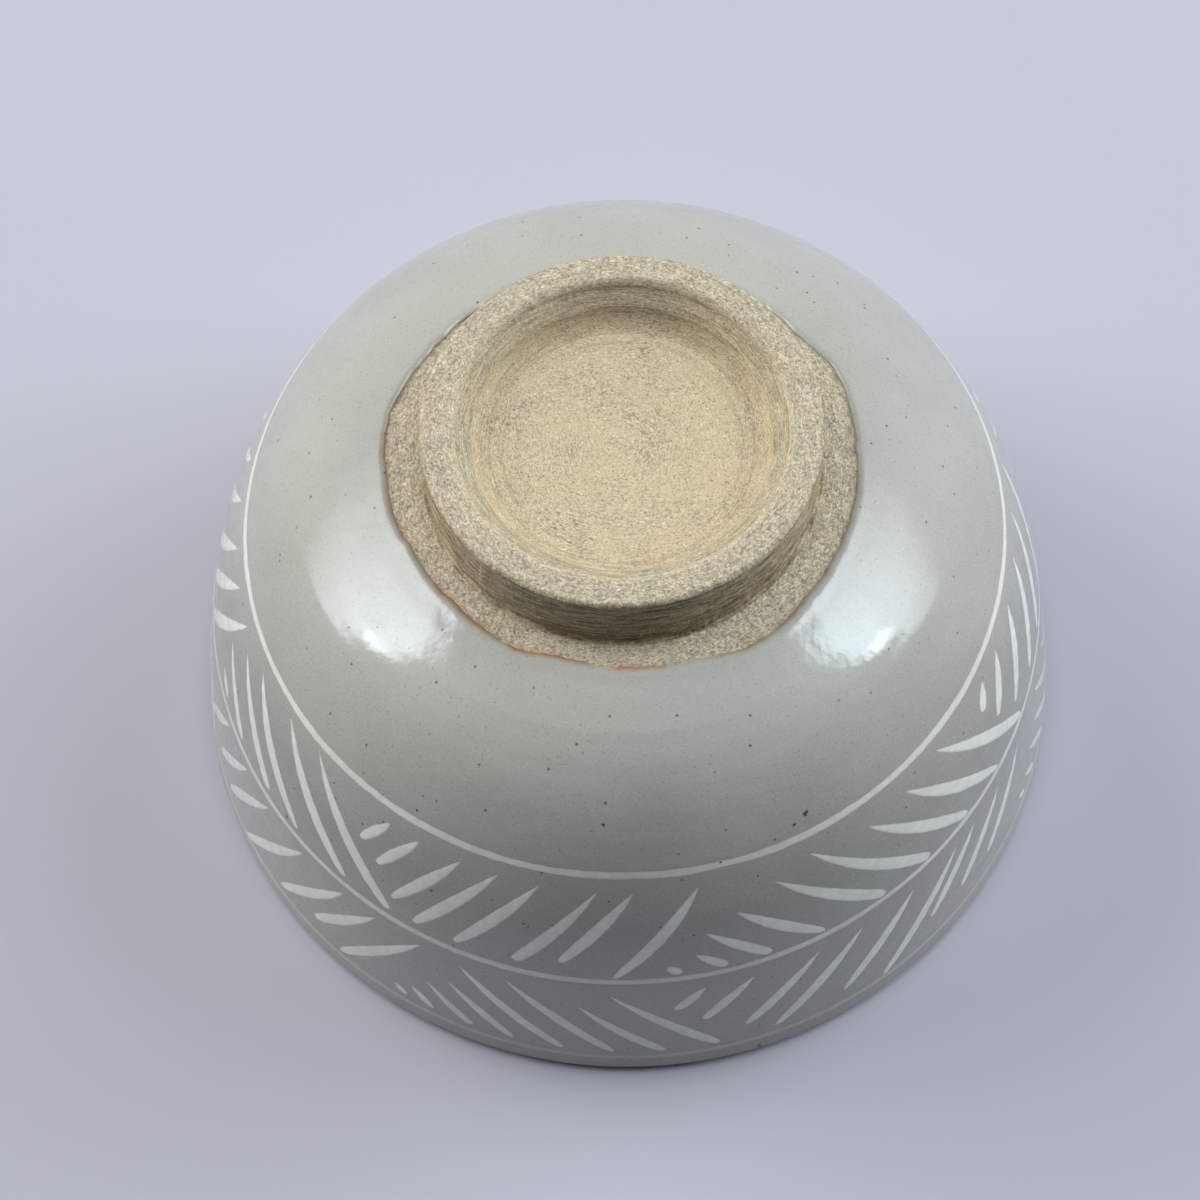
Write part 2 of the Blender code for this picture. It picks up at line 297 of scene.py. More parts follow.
def inside_face(shape):
    rim = shape.rim_radius - shape.lip
    return Face((
        (rim, 0.0),
        (rim - shape.inside_reach * math.tan(shape.inside_taper), shape.inside_reach),
        (shape.rim_radius - shape.inside_hip_inset, inside_depth(shape)),
        (0.0, inside_depth(shape)),
    ))


def smooth_step(values):
    values = np.clip(values, 0.0, 1.0)
    return values * values * (3.0 - 2.0 * values)


def value_noise(points, size, seed):
    """Smooth noise from -1 to 1 at points, with lumps of a size."""
    side = 32
    table = np.random.default_rng(seed).uniform(-1.0, 1.0, (side, side, side))
    cells = points / size
    base = np.floor(cells).astype(int)
    part = smooth_step(cells - base)
    total = np.zeros(points.shape[:-1])
    for corner in itertools.product((0, 1), repeat=3):
        near = np.where(corner, part, 1.0 - part).prod(axis=-1)
        x, y, z = np.moveaxis((base + corner) % side, -1, 0)
        total += near * table[x, y, z]
    return total


def around(turns, radius, height):
    """Points at turns round the axis, counted from the front towards +X."""
    return np.stack(np.broadcast_arrays(radius * np.sin(turns), -radius * np.cos(turns), height), axis=-1)


def hand_ripple(turns, lengths):
    """How far the thrown wall stands out from its true curve."""
    fade = smooth_step((lengths - 4.0 * MM) / (10.0 * MM))
    oval = 0.10 * np.sin(2.0 * turns + 0.7) + 0.05 * np.sin(3.0 * turns + 2.1)
    rings = 0.012 * np.sin(2.0 * math.pi * lengths / (3.4 * MM) + 0.9 * np.sin(turns))
    rings += 0.008 * np.sin(2.0 * math.pi * lengths / (1.9 * MM) + 0.6 * np.sin(2.0 * turns))
    return fade * (oval + rings) * MM


def wall_points(face, turns, lengths, lift=0.0):
    """Points on the thrown wall, moved out by a lift."""
    radius, height = face.at(lengths, lift + hand_ripple(turns, lengths))
    return around(turns, radius, height)


def grid_faces(rows, columns, close_rows):
    """Quads over closed rows of points, with the last row joined to the first where asked."""
    row = np.arange(rows if close_rows else rows - 1)[:, None] * columns
    column = np.arange(columns)[None, :]
    above = (row + columns) % (rows * columns)
    beside = (column + 1) % columns
    corners = (row + column, row + beside, above + beside, above + column)
    return np.stack(corners, axis=-1).reshape(-1, 4).tolist()


def face_outwards(mesh):
    """Turns the faces of a closed mesh over where they look inwards."""
    shell = bmesh.new()
    shell.from_mesh(mesh)
    inside_out = shell.calc_volume(signed=True) < 0.0
    shell.free()
    if inside_out:
        mesh.flip_normals()


def add_object(name, data):
    item = bpy.data.objects.new(name, data)
    bpy.context.scene.collection.objects.link(item)
    return item


def add_piece(name, points, faces, material, slot, replaced=(), **values):
    """Makes a smooth mesh piece with values on its points, and lets it ride on the frame."""
    mesh = bpy.data.meshes.new(name)
    mesh.from_pydata(points.reshape(-1, 3).tolist(), [], faces)
    for key, numbers in values.items():
        data = mesh.attributes.new(key, "FLOAT", "POINT").data
        data.foreach_set("value", np.ravel(numbers).astype(np.float32))
    face_outwards(mesh)
    mesh.shade_smooth()
    mesh.set_sharp_from_angle(angle=SHARP_EDGE)
    mesh.materials.append(material)
    mesh.validate()
    piece = add_object(name, mesh)
    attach(piece, "root")
    if replaced:
        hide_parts(*replaced)


def turned_faces(rings, segments, poles):
    """Faces over closed rings of points, with a fan to a pole at each end or else the ends joined."""
    quads = grid_faces(rings, segments, not poles)
    if not poles:
        return quads
    first = rings * segments
    last_ring = (rings - 1) * segments
    for step in range(segments):
        beside = (step + 1) % segments
        quads.append((first, beside, step))
        quads.append((first + 1, last_ring + step, last_ring + beside))
    return quads


# Material helpers

class Graph:
    """Short way to write a node material."""

    def __init__(self, name):
        self.material = bpy.data.materials.new(name)
        self.material.use_nodes = True
        self.tree = self.material.node_tree
        self.shader = self.tree.nodes["Principled BSDF"]
        self.place = self.add("ShaderNodeTexCoord").outputs["Object"]

    def put(self, socket, value):
        if isinstance(value, bpy.types.NodeSocket):
            self.tree.links.new(value, socket)
        elif socket.type == "RGBA":
            socket.default_value = (*value, 1.0)
        else:
            socket.default_value = value

    def add(self, kind, settings=None, **inputs):
        node = self.tree.nodes.new(kind)
        for key, value in (settings or {}).items():
            setattr(node, key, value)
        self.fill(node, inputs)
        return node

    def fill(self, node, inputs):
        for key, value in inputs.items():
            self.put(node.inputs[key.replace("_", " ")], value)

    def finish(self, **inputs):
        """Fills the shader's inputs and gives the material."""
        self.fill(self.shader, inputs)
        return self.material

    def noise(self, size, detail=2.0, place=None):
        node = self.add("ShaderNodeTexNoise", Vector=place or self.place, Scale=1.0 / size, Detail=detail)
        return node.outputs["Fac"]

    def spots(self, cell, radius):
        """1 inside spots of a radius scattered through space in cells of a size."""
        node = self.add("ShaderNodeTexVoronoi", Vector=self.place, Scale=1.0 / cell)
        edge = radius / cell
        return self.span(node.outputs["Distance"], edge, 0.30 * edge)

    def span(self, value, low, high, to_low=0.0, to_high=1.0):
        node = self.add("ShaderNodeMapRange", Value=value, From_Min=low, From_Max=high,
                        To_Min=to_low, To_Max=to_high)
        return node.outputs["Result"]

    def math(self, operation, first, second=0.0):
        node = self.add("ShaderNodeMath", {"operation": operation})
        self.put(node.inputs[0], first)
        self.put(node.inputs[1], second)
        return node.outputs["Value"]

    def times(self, first, second):
        return self.math("MULTIPLY", first, second)

    def mix(self, share, first, second):
        node = self.add("ShaderNodeMix", {"data_type": "RGBA"})
        self.put(node.inputs[0], share)
        self.put(node.inputs[6], first)
        self.put(node.inputs[7], second)
        return node.outputs[2]

    def value(self, name):
        return self.add("ShaderNodeAttribute", {"attribute_name": name}).outputs["Fac"]

    def bump(self, height, distance, strength=1.0, under=None):
        node = self.add("ShaderNodeBump", Height=height, Distance=distance, Strength=strength)
        if under:
            self.put(node.inputs["Normal"], under)
        return node.outputs["Normal"]


def glaze_material(look):
    """Glossy grey glaze with clouds, fine grain, iron specks and slip or rust where the points say so; its
    paler shoulder is painted light.
    """
    graph = Graph("glaze_over_slip")
    height = graph.add("ShaderNodeSeparateXYZ", Vector=graph.place).outputs["Z"]
    clouds = graph.span(graph.noise(14.0 * MM, 3.0), 0.3, 0.7, -0.15, 0.15)
    # Painted light: the glaze turns paler with height up to the shoulder that faces the lights, mixed with
    # clouds of random tone.
    clouds_and_painted_light = graph.math("ADD", graph.span(height, 36.0 * MM, 58.0 * MM), clouds)
    body = graph.mix(clouds_and_painted_light, look.grey, look.pale)
    body = graph.mix(graph.span(graph.noise(0.30 * MM, 3.0), 0.55, 0.72, 0.0, 0.20), body, look.milk)
    body = graph.mix(graph.span(graph.noise(0.26 * MM, 2.0), 0.58, 0.75, 0.0, 0.28), body, look.iron)
    specks = graph.math("MAXIMUM", graph.spots(2.7 * MM, 0.24 * MM),
                        graph.times(graph.spots(1.3 * MM, 0.13 * MM), 0.55))
    thin = graph.span(graph.noise(1.2 * MM, 3.0), 0.3, 0.7, 0.78, 1.0)
    body = graph.mix(graph.times(specks, 0.9), body, look.iron)
    body = graph.mix(graph.times(graph.value("slip"), thin), body, look.slip)
    body = graph.mix(graph.value("rust"), body, look.rust)
    body = graph.mix(graph.value("speck"), body, look.iron)
    rough = graph.span(graph.noise(2.0 * MM, 3.0), 0.3, 0.7, 0.8 * look.roughness, 1.25 * look.roughness)
    peel = graph.bump(graph.noise(0.8 * MM, 2.0), 0.010 * MM)
    peel = graph.bump(graph.noise(3.0 * MM, 2.0), 0.05 * MM, 1.0, peel)
    return graph.finish(Base_Color=body, Roughness=rough, Specular_IOR_Level=0.25, Normal=peel,
                        Coat_Weight=look.gloss, Coat_Roughness=0.07, Coat_Normal=peel)


def clay_material(look):
    """Bare sandy stoneware: cream, grey and brown grains, dark pits, marks that run with the turning, and
    painted shade in recesses.
    """
    graph = Graph("sandy_clay")
    apart = graph.add("ShaderNodeSeparateXYZ", Vector=graph.place)
    x, y, z = (apart.outputs[key] for key in "XYZ")
    radius = graph.math("SQRT", graph.math("ADD", graph.times(x, x), graph.times(y, y)))
    course = graph.math("ADD", radius, z)
    along, drawn = (
        graph.add("ShaderNodeCombineXYZ", X=graph.times(x, share), Y=graph.times(y, share),
                  Z=course).outputs["Vector"]
        for share in (0.07, 0.55)
    )
    floor = graph.value("floor")
    marks = graph.value("marks")
    coarse = graph.value("coarse")
    body = graph.mix(floor, look.buff, look.peach)
    clouds = graph.span(graph.noise(7.0 * MM, 3.0), 0.42, 0.66)
    fine = graph.times(graph.span(graph.noise(0.27 * MM, 4.0, drawn), 0.47, 0.57),
                       graph.span(coarse, 0.0, 1.0, 1.0, 0.50))
    lumps = graph.times(graph.span(graph.noise(0.46 * MM, 4.0), 0.46, 0.56),
                        graph.span(coarse, 0.0, 1.0, 0.0, 0.66))
    grey_grain = graph.math("ADD", fine, lumps)
    grey_share = graph.span(graph.math("MAXIMUM", coarse, clouds), 0.0, 1.0, 0.10, 0.74)
    patches = graph.span(graph.noise(1.1 * MM, 3.0), 0.36, 0.62)
    grey_share = graph.times(grey_share, graph.span(patches, 0.0, 1.0, 0.55, 1.20))
    body = graph.mix(graph.times(grey_grain, grey_share), body, look.ash)
    brown_grain = graph.span(graph.noise(0.30 * MM, 4.0, drawn), 0.52, 0.60)
    brown_share = graph.span(coarse, 0.0, 1.0, 0.12, 0.52)
    body = graph.mix(graph.times(brown_grain, brown_share), body, look.brown)
    # Painted shade and turning marks: the run's strength browns the clay, darkens streaks and thins cream
    # grains.
    body = graph.mix(graph.times(marks, 0.50), body, look.brown)
    streaks = graph.times(graph.span(graph.noise(0.26 * MM, 3.0, along), 0.40, 0.64), marks)
    body = graph.mix(streaks, body, look.umber)
    flecks = graph.span(graph.noise(0.22 * MM, 2.0), 0.58, 0.68, 0.0, 0.60)
    pits = graph.times(graph.spots(0.9 * MM, 0.14 * MM), 0.7)
    body = graph.mix(graph.math("MAXIMUM", flecks, pits), body, look.umber)
    cream_grain = graph.span(graph.noise(0.21 * MM, 4.0, drawn), 0.53, 0.61)
    cream_share = graph.times(graph.span(patches, 0.0, 1.0, 0.85, 0.35),
                              graph.span(marks, 0.0, 1.0, 1.0, 0.30))
    body = graph.mix(graph.times(cream_grain, cream_share), body, look.cream)
    body = graph.mix(graph.value("rust"), body, look.rust)
    rough = graph.span(grey_grain, 0.0, 1.0, 0.92, 0.80)
    relief = graph.bump(graph.noise(0.25 * MM, 3.0, drawn), 0.12 * MM, 0.8)
    relief = graph.bump(graph.noise(0.60 * MM, 3.0), 0.20 * MM, 0.7, relief)
    relief = graph.bump(streaks, 0.06 * MM, 0.8, relief)
    return graph.finish(Base_Color=body, Roughness=rough, Specular_IOR_Level=0.3, Normal=relief)


def floor_material(tint, size):
    """Plain pale floor that fades into the background far from the bowl."""
    graph = Graph("pale_floor")
    shade = graph.mix(graph.span(graph.noise(60.0 * MM, 2.0), 0.3, 0.7, 0.0, 0.05), tint, (0.5, 0.5, 0.55))
    away = graph.add("ShaderNodeVectorMath", {"operation": "LENGTH"}, Vector=graph.place).outputs["Value"]
    seen = graph.span(away, 0.14 * size, 0.38 * size, 1.0, 0.0)
    return graph.finish(Base_Color=shade, Roughness=0.9, Alpha=seen)


def shared_glaze(context):
    return bpy.data.materials.get("glaze_over_slip") or glaze_material(context.scene.tea_bowl.glaze)


# Profile helpers

def turns_of(segments):
    return np.arange(segments)[None, :] * 2.0 * math.pi / segments


def bare_width(turns):
    """Width of the bare band at turns round the foot, as a smooth closed line through its points."""
    places, widths = np.array(BARE_EDGE).T
    places = np.radians(np.concatenate([places[-2:] - 360.0, places, places[:2] + 360.0]))
    widths = np.concatenate([widths[-2:], widths, widths[:2]]) * MM
    turns = (turns + math.radians(128.0)) % (2.0 * math.pi) - math.radians(128.0)
    near = np.searchsorted(places, turns, side="right") - 1
    share = smooth_step((turns - places[near]) / (places[near + 1] - places[near]))
    base = widths[near] + (widths[near + 1] - widths[near]) * share
    ring = around(turns, 28.0 * MM, 0.0)
    ragged = value_noise(ring, 1.3 * MM, 5) + 0.6 * value_noise(ring, 0.6 * MM, 6)
    return base + 0.12 * MM * ragged


def rust_share(turns):
    """Strength of the rust line round the foot: most at the front, a little to the left."""
    away = np.abs((turns + math.radians(20.0) + math.pi) % (2.0 * math.pi) - math.pi)
    return 0.35 + 0.65 * np.exp(-(away / math.radians(50.0))**2)


def lip_arc(shape, lift, parts):
    """Round of the lip from outside to inside, moved out by a lift."""
    centre = shape.rim_radius - shape.lip / 2.0 * (1.0 + math.tan(shape.rim_taper))
    radius = shape.lip / 2.0 + lift
    turns = np.linspace(0.0, -math.pi, 2 * parts + 1)
    return centre + radius * np.cos(turns), shape.lip / 2.0 + radius * np.sin(turns)


def joined(*runs):
    """Radii and heights of several runs of a profile, end to end."""
    return tuple(np.concatenate([np.atleast_1d(run[axis]) for run in runs]) for axis in (0, 1))


def arc_run(centre, radius, start, end, parts):
    turns = np.radians(np.linspace(start, end, parts + 1))
    return centre[0] + radius * np.cos(turns), centre[1] + radius * np.sin(turns)


def straight_run(start, end, parts):
    share = np.linspace(0.0, 1.0, parts + 1)
    return start[0] + (end[0] - start[0]) * share, start[1] + (end[1] - start[1]) * share


# Building steps

class TEABOWL_OT_clay(bpy.types.Operator):
    """Build the bare clay: foot well, foot ring, shoulder and the wall under the glaze"""

    bl_idname = "tea_bowl.clay"
    bl_label = "Clay Body"

    def execute(self, context):
        settings = context.scene.tea_bowl
        shape = settings.shape
        segments = settings.segments
        face = outside_face(shape)
        inner = inside_face(shape)
        under = shape.coat + shape.seat
        top = shape.shoulder_height + shape.foot_height
        floor = top - shape.well_depth
        ring_inner = shape.foot_radius - shape.foot_face
        edge = shape.foot_edge
        curve = shape.well_curve
        bare_reach = 8.0 * MM
        bare_end = face.length_at_radius(shape.foot_radius + bare_reach)
        foot_base = face.lengths[-1]
        clay_shoulder = shape.shoulder_height - under
        root = 0.4 * MM
        runs = {
            "floor": straight_run((AXIS_RING, floor), (shape.well_radius - curve, floor), 44),
            "corner": arc_run((shape.well_radius - curve, floor + curve), curve, -84, -14, 14),
            "inner_wall": straight_run((shape.well_radius + 0.05 * MM, floor + curve),
                                       (ring_inner, top - edge), 12),
            "inner_edge": arc_run((ring_inner + edge, top - edge), edge, 165, 95, 7),
            "face": straight_run((ring_inner + edge, top), (shape.foot_radius - edge / 2.0, top), 14),
            "outer_edge": arc_run((shape.foot_radius - edge / 2.0, top - edge / 2.0), edge / 2.0, 85, 5, 6),
            "outer_wall": straight_run((shape.foot_radius, top - edge / 2.0),
                                       (shape.foot_radius, clay_shoulder + 0.5 * MM), 34),
            "root": arc_run((shape.foot_radius + root, clay_shoulder + root), root, 190, 265, 4),
            "shoulder": face.at(np.linspace(foot_base - 0.6 * MM, bare_end, 30), -under),
            "hidden": face.at(np.linspace(bare_end, shape.rim_coat, 8)[1:], -under),
            "lip": lip_arc(shape, -under, 4),
            "inside": inner.at(np.linspace(shape.rim_coat, inner.lengths[-1] - AXIS_RING, 14), under),
        }
        radius, height = joined(*runs.values())
        zone = np.concatenate([[name] * len(run[0]) for name, run in runs.items()])
        turns = turns_of(segments)
        points = around(turns, radius[:, None], height[:, None])
        course = (radius + height)[:, None] + 0.25 * MM * np.sin(turns + 0.4)
        tangent = np.stack([np.gradient(radius), np.gradient(height)], axis=1)
        tangent /= np.linalg.norm(tangent, axis=1)[:, None] + 1e-12
        normal = around(turns, -tangent[:, 1][:, None], tangent[:, 0][:, None])
        grit = value_noise(points, 0.8 * MM, 1) + 0.6 * value_noise(points, 0.45 * MM, 2)
        stretch = around(turns, radius[:, None] * 0.07, course)
        cuts = value_noise(stretch, 0.55 * MM, 3) + 0.7 * value_noise(stretch, 0.25 * MM, 4)
        surface = np.array([CLAY_SURFACE.get(name, COVERED) for name in zone])
        grit_height, cut_height, marks, coarse = surface.T[:, :, None] + 0.0 * turns
        groove = (np.exp(-((radius - 14.6 * MM) / (0.25 * MM))**2) * (zone == "floor"))[:, None]
        rise = (grit_height * grit + cut_height * cuts - 0.05 * groove) * MM
        points = points + normal * rise[..., None]
        poles = np.array([(0.0, 0.0, floor), (0.0, 0.0, inside_depth(shape) + under)])
        marks = marks + 0.15 * groove
        smooth_floor = np.isin(zone, ("floor", "corner"))[:, None] + 0.0 * turns
        edge_at = face.length_at_radius(shape.foot_radius + bare_width(turns))
        gap = edge_at - face.length_at_radius(radius)[:, None]
        rust = np.where((zone == "shoulder")[:, None], np.exp(-np.abs(gap) / (0.35 * MM)), 0.0)
        rust = rust * 0.8 * rust_share(turns) * smooth_step(0.5 + 0.8 * value_noise(points, 4.0 * MM, 8))
        add_piece("clay_body_bare", np.concatenate([points.reshape(-1, 3), poles]),
                  turned_faces(len(radius), segments, True), clay_material(settings.clay),
                  "bare_stoneware", ("clay_body",),
                  floor=np.append(smooth_floor, (1.0, 0.0)), marks=np.append(marks, (0.2, 0.0)),
                  coarse=np.append(coarse, (0.0, 0.0)), rust=np.append(rust, (0.0, 0.0)))
        return {"FINISHED"}


class TEABOWL_OT_outer_glaze(bpy.types.Operator):
    """Build the outer coat, with its rounded, ragged edge round the bare foot"""

    bl_idname = "tea_bowl.outer_glaze"
    bl_label = "Outer Glaze"

    def execute(self, context):
        settings = context.scene.tea_bowl
        shape = settings.shape
        face = outside_face(shape)
        turns = turns_of(settings.segments)
        edge_at = face.length_at_radius(shape.foot_radius + bare_width(turns))
        start = shape.rim_coat + COAT_GAP
        edge_band = 11.0 * MM
        wall_end = face.lengths[-1] - edge_band
        near_edge = np.concatenate([np.linspace(0.0, 0.8, 13), (1.0, 1.3, 1.7, 2.2, 3.0, 4.0)]) * MM
        wall = np.linspace(start, wall_end, 96)[:, None] + 0.0 * turns
        last = edge_at - near_edge[::-1][:, None]
        lengths = np.concatenate([wall, last])
        gap = edge_at - lengths
        bead = 0.75 * MM
        fall = 1.0 - np.sqrt(np.clip(1.0 - np.clip(1.0 - gap / bead, 0.0, 1.0)**2, 0.0, 1.0))
        swell = 0.07 * MM * np.exp(-((gap - 1.1 * MM) / (0.7 * MM))**2)
        front = wall_points(face, turns, lengths, swell - shape.coat * fall)
        back_lengths = np.concatenate([
            edge_at - 0.05 * MM,
            np.linspace(wall_end, start, 18)[:, None] + 0.0 * turns,
        ])
        back = wall_points(face, turns, back_lengths, -shape.coat)
        points = np.concatenate([front, back])
        worn = smooth_step(0.30 + 0.9 * value_noise(front, 3.0 * MM, 8) + 0.55 * np.cos(turns + 0.6))
        rust = np.exp(-(gap / (0.55 * MM))**2) * worn * rust_share(turns)
        rust = np.concatenate([rust, np.zeros(back.shape[:2])])
        add_piece("outer_glaze_coat", points, turned_faces(len(points), settings.segments, False),
                  shared_glaze(context), "grey_glaze", ("outer_glaze",), rust=rust)
        return {"FINISHED"}


class TEABOWL_OT_inner_glaze(bpy.types.Operator):
    """Build the inner coat and the double coat over the lip"""

    bl_idname = "tea_bowl.inner_glaze"
    bl_label = "Inner and Rim Glaze"

    def execute(self, context):
        settings = context.scene.tea_bowl
        shape = settings.shape
        segments = settings.segments // 2
        turns = turns_of(segments)
        face = outside_face(shape)
        inner = inside_face(shape)
        material = shared_glaze(context)

        lengths = np.linspace(inner.lengths[-1] - AXIS_RING, shape.rim_coat + COAT_GAP, 60)
        radius, height = joined(inner.at(lengths), inner.at(lengths[::-3], shape.coat))
        points = around(turns, radius[:, None], height[:, None]).reshape(-1, 3)
        depth = inside_depth(shape)
        poles = np.array([(0.0, 0.0, depth), (0.0, 0.0, depth + shape.coat)])
        add_piece("inner_glaze_coat", np.concatenate([points, poles]),
                  turned_faces(len(radius), segments, True), material, "grey_glaze", ("inner_glaze",))

        up = np.linspace(shape.rim_coat, shape.lip / 2.0, 8)
        skin, back = (
            joined(face.at(up, -under), lip_arc(shape, -under, 8), inner.at(up[::-1], under))
            for under in (0.0, shape.coat)
        )
        radius, height = joined(skin, np.flip(back, axis=1))
        points = around(turns, radius[:, None], height[:, None])
        add_piece("rim_glaze_coat", points, turned_faces(len(radius), segments, False),
                  material, "grey_glaze", ("rim_glaze",))
        return {"FINISHED"}


class TEABOWL_OT_lines(bpy.types.Operator):
    """Build the three slip lines round the wall"""

    bl_idname = "tea_bowl.lines"
    bl_label = "Slip Lines"

    def execute(self, context):
        settings = context.scene.tea_bowl
        slip = settings.slip
        face = outside_face(settings.shape)
        turns = turns_of(LINE_FACETS)
        across = np.linspace(-1.6, 1.6, 13)[:, None]
        # Name, height, width against the line width, strength of the slip, rise and tilt in millimetres
        lines = (("belly_line", slip.belly_line, 0.98, 1.0, 0.15, 0.0),
                 ("middle_line", slip.middle_line, 1.10, 0.8, 0.50, 0.70),
                 ("rim_line", slip.rim_line, 0.95, 0.32, 0.15, 0.10))
        for order, (name, place, wide, strength, raised, tilt) in enumerate(lines):
            ring = around(turns, 50.0 * MM, order * 80.0 * MM)
            drift = (raised + tilt * np.sin(turns) + 0.07 * value_noise(ring, 9.0 * MM, 20 + order)) * MM
            swell = 1.06 - 0.12 * np.cos(turns) + 0.12 * value_noise(ring, 6.0 * MM, 30 + order)
            half = slip.line_width * wide / 2.0 * swell
            lengths = place + drift + across * half
            points = wall_points(face, turns, lengths)
            rough = 0.07 * MM * value_noise(points, 0.9 * MM, 40 + order)
            inside = smooth_step((half * (1.0 - np.abs(across)) + rough) / slip.softness + 0.5)
            faded = strength * (0.88 + 0.12 * value_noise(points, 7.0 * MM, 50 + order))
            lift = (1.5 * inside - 0.6) * slip.lift
            back = wall_points(face, turns, lengths[[-1, 0]], -slip.inlay)
            points = np.concatenate([wall_points(face, turns, lengths, lift), back])
            values = np.concatenate([inside * faded, np.zeros(back.shape[:2])])
            add_piece(f"{name}_slip", points, turned_faces(len(points), turns.size, False),
                      shared_glaze(context), "white_slip", (name,), slip=values)
        return {"FINISHED"}


def stroke_patch(face, slip, foot, tip, width, seed):
    """Points and slip values of one stroke: blunt at its foot, pointed at its tip, fading into the glaze."""
    along = np.linspace(0.0, 1.0, 41)[:, None]
    across = np.linspace(-1.0, 1.0, 13)[None, :]
    middle = (foot[1] + tip[1]) / 2.0
    radius = face.at(middle)[0]
    run = np.array(((tip[0] - foot[0]) * radius, tip[1] - foot[1]))
    size = np.linalg.norm(run)
    ahead = run / size
    aside = np.array((ahead[1], -ahead[0]))
    margin = 0.3 * MM
    reach = along * (size + 2.0 * margin) - margin
    share = np.clip(reach / size, 0.0, 1.0)
    random = np.random.default_rng(seed)
    skew = random.uniform(0.55, 0.95)
    bow = random.uniform(-0.012, 0.012) * size * np.sin(math.pi * share)
    half = width / 2.0 * np.sin(math.pi * share**skew)**(0.36 + 0.34 * share)
    offset = across * (half + margin)
    turns = foot[0] + (ahead[0] * reach + aside[0] * (offset + bow)) / radius
    lengths = foot[1] + ahead[1] * reach + aside[1] * (offset + bow)
    points = wall_points(face, turns, lengths)
    rough = 0.05 * MM * value_noise(points, 0.8 * MM, seed)
    past = np.maximum(-reach, reach - size)
    inside = smooth_step((half - np.abs(offset) - np.maximum(past, 0.0) + rough) / slip.softness + 0.5)
    strength = 0.92 + 0.08 * value_noise(points, 5.0 * MM, seed + 1)
    front = wall_points(face, turns, lengths, (1.5 * inside - 0.6) * slip.lift)
    back = wall_points(face, turns[:, [-1, 0]], lengths[:, [-1, 0]], -slip.inlay)
    values = np.concatenate([inside * strength, np.zeros(back.shape[:2])], axis=1)
    return np.concatenate([front, back], axis=1), values


def bar_faces(rows, columns):
    """Quads round a bar of closed rows of points, with a face over each end."""
    first = range(columns)
    last = range((rows - 1) * columns, rows * columns)
    return grid_faces(rows, columns, False) + [tuple(reversed(first)), tuple(last)]


def row_strokes(zone, slip, foot_line, top_line):
    """Foot and tip of each stroke of a zone, as turn and height on the wall, and its width."""
    low = foot_line + slip.foot_gap
    height = top_line - slip.tip_gap - low
    for start, share in zip(zone.turns, zone.shares):
        turn = math.radians(start)
        lean = math.radians(zone.lean) * share
        width = slip.stroke_width * zone.wide * min(1.0, 0.72 + 0.3 * share)
        if zone.rising:
            yield (turn - lean, low + height * (1.0 - share)), (turn, low + height), width
        else:
            yield (turn, low), (turn - lean, low + height * share), width


class TEABOWL_OT_strokes(bpy.types.Operator):
    """Build the two rows of slip strokes"""

    bl_idname = "tea_bowl.strokes"
    bl_label = "Slip Strokes"

    def execute(self, context):
        settings = context.scene.tea_bowl
        slip = settings.slip
        face = outside_face(settings.shape)
        limits = {"upper": (slip.middle_line, slip.belly_line), "lower": (slip.rim_line, slip.middle_line)}
        for row, zones in ROWS.items():
            solid = 0
            for zone_order, zone in enumerate(zones, start=1):
                strokes = list(row_strokes(zone, slip, *limits[row]))
                for order, (foot, tip, width) in enumerate(strokes, start=1):
                    seed = (1000 if row == "upper" else 2000) + 40 * zone_order + 2 * order
                    points, values = stroke_patch(face, slip, foot, tip, width, seed)
                    replaced = ()
                    if order > len(strokes) - zone.solids:
                        solid += 1
                        replaced = (f"{row}_stroke_{solid:02d}",)
                    add_piece(f"{row}_slip_{zone_order}_{order:02d}", points, bar_faces(*values.shape),
                              shared_glaze(context), "white_slip", replaced, slip=values)
        return {"FINISHED"}


class TEABOWL_OT_specks(bpy.types.Operator):
    """Build the larger iron specks that have come through the glaze"""

    bl_idname = "tea_bowl.specks"
    bl_label = "Iron Specks"

    def execute(self, context):
        settings = context.scene.tea_bowl
        face = outside_face(settings.shape)
        rings = np.linspace(0.0, 1.5, 7)[:, None]
        sweep = turns_of(20)
        points, values, faces = [], [], []
        for order, (turn, place, size) in enumerate(SPECKS):
            rough = 1.0 + 0.2 * np.sin(2.0 * sweep + order) + 0.12 * np.sin(3.0 * sweep + 2.0 * order)
            reach = (rings + 0.02) * size * MM * rough
            radius = face.at(place * MM)[0]
            turns = math.radians(turn) + reach * np.cos(sweep) / radius
            lengths = place * MM + reach * np.sin(sweep)
            dark = smooth_step((1.35 - rings) / 0.7) + 0.0 * sweep
            start = order * (dark.size + 2)
            faces += [tuple(np.add(corners, start)) for corners in turned_faces(len(rings), sweep.size, True)]
            points.append(wall_points(face, turns, lengths, (0.05 * dark - 0.025) * MM).reshape(-1, 3))
            points.append(wall_points(face, math.radians(turn), place * MM, np.array((0.025, -0.2)) * MM))
            values.append(np.append(dark, (1.0, 0.0)))
        add_piece("iron_specks", np.concatenate(points), faces, shared_glaze(context),
                  "grey_glaze", speck=np.concatenate(values))
        return {"FINISHED"}


